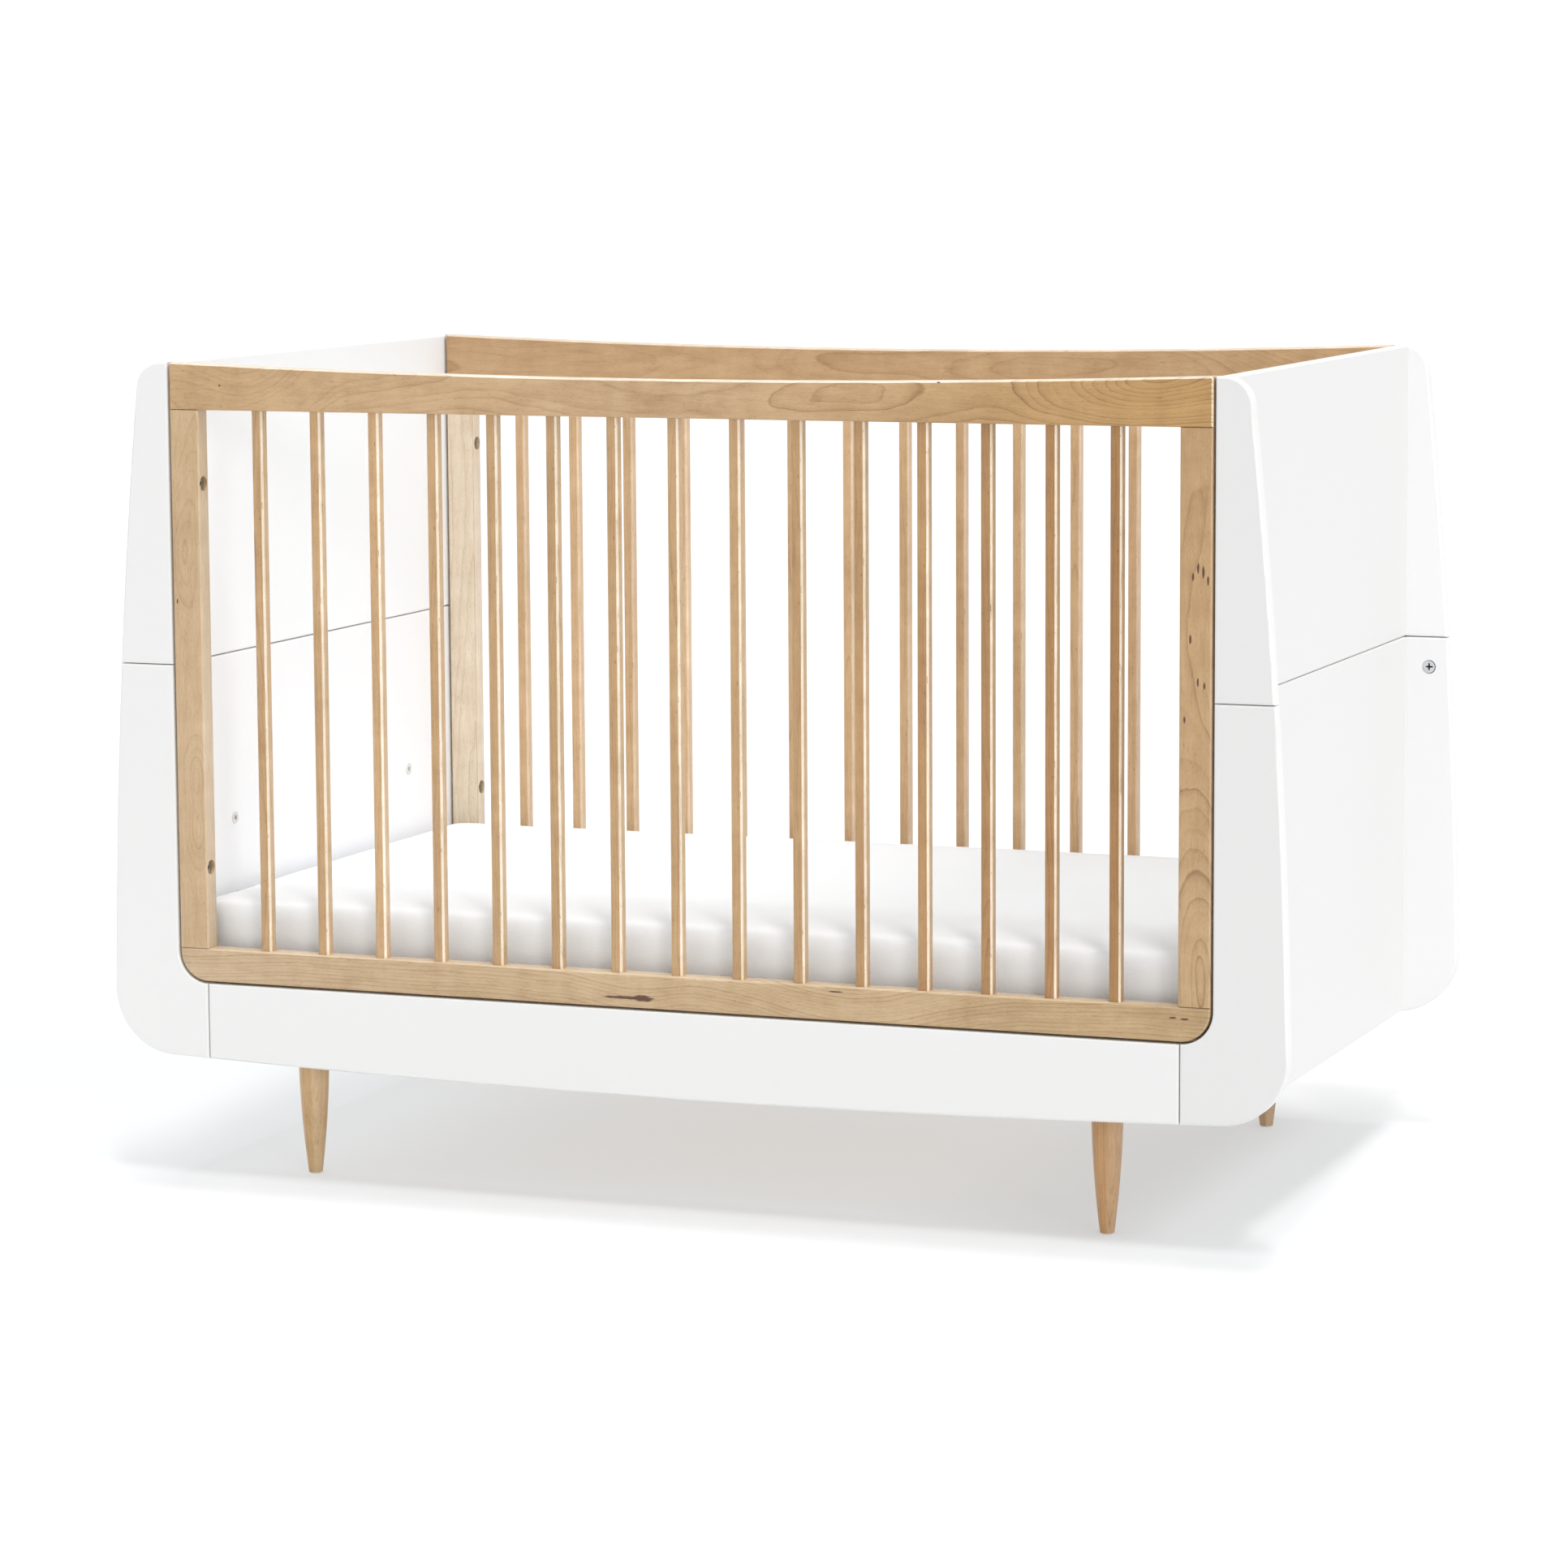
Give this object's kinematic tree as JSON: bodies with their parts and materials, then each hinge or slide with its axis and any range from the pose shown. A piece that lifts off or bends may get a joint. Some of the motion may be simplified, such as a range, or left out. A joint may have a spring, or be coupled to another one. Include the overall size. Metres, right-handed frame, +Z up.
{
  "type": "baby crib",
  "caption": "Baby crib with painted H-shaped ends, slatted beech sides with a dipped top rail, arched aprons, turned tapered legs and a mattress on a height-adjustable base.",
  "frame": {"origin": "on the floor under the middle of the crib", "axes": "+X along the crib's length, +Y from the front side frame to the rear one, +Z up"},
  "size_m": [1.355, 0.74, 0.908],
  "materials": {
    "white_paint": "satin white lacquer on board",
    "beech": "clear matt lacquered beech",
    "beech_base": "bare beech",
    "chrome": "bright chromed zinc",
    "steel": "zinc-plated steel",
    "white_nylon": "moulded white nylon",
    "mattress_cover": "white jersey cover over foam"
  },
  "bodies": {
    "crib_frame": {"front_right_upper_post": "white_paint", "front_left_upper_post": "white_paint", "rear_right_upper_post": "white_paint", "rear_left_upper_post": "white_paint", "front_right_lower_post": "white_paint", "front_left_lower_post": "white_paint", "rear_right_lower_post": "white_paint", "rear_left_lower_post": "white_paint", "right_upper_panel": "white_paint", "left_upper_panel": "white_paint", "right_lower_panel": "white_paint", "left_lower_panel": "white_paint", "front_apron": "white_paint", "rear_apron": "white_paint", "left_leg_board": "white_paint", "right_leg_board": "white_paint", "front_top_rail": "beech", "rear_top_rail": "beech", "front_bottom_rail": "beech", "rear_bottom_rail": "beech", "front_right_stile": "beech", "front_left_stile": "beech", "rear_right_stile": "beech", "rear_left_stile": "beech", "front_slat_01": "beech", "front_slat_02": "beech", "front_slat_03": "beech", "front_slat_04": "beech", "front_slat_05": "beech", "front_slat_06": "beech", "front_slat_07": "beech", "front_slat_08": "beech", "front_slat_09": "beech", "front_slat_10": "beech", "front_slat_11": "beech", "front_slat_12": "beech", "front_slat_13": "beech", "front_slat_14": "beech", "front_slat_15": "beech", "rear_slats": "beech", "front_right_leg": "beech", "front_left_leg": "beech", "rear_right_leg": "beech", "rear_left_leg": "beech", "dowels": "beech", "seam_cams": "chrome", "side_bolts": "steel", "side_inserts": "steel", "seam_bolts": "steel", "base_bolts": "steel", "leg_bolts": "steel", "leg_nuts": "steel", "base_inserts": "white_nylon", "floor_glides": "white_nylon"},
    "mattress_base": {"base_front_rail": "beech_base", "base_rear_rail": "beech_base", "base_left_rail": "beech_base", "base_right_rail": "beech_base", "base_slats": "beech_base"},
    "mattress": {"mattress": "mattress_cover"}
  },
  "joints": [
    {"name": "base_height", "type": "slide", "parent": "crib_frame", "child": "mattress_base", "axis": [0, 0, 1], "range_m": [0, 0.18]},
    {"name": "mattress_lift", "type": "slide", "parent": "mattress_base", "child": "mattress", "axis": [0, 0, 1], "range_m": [0, 0.7]}
  ]
}
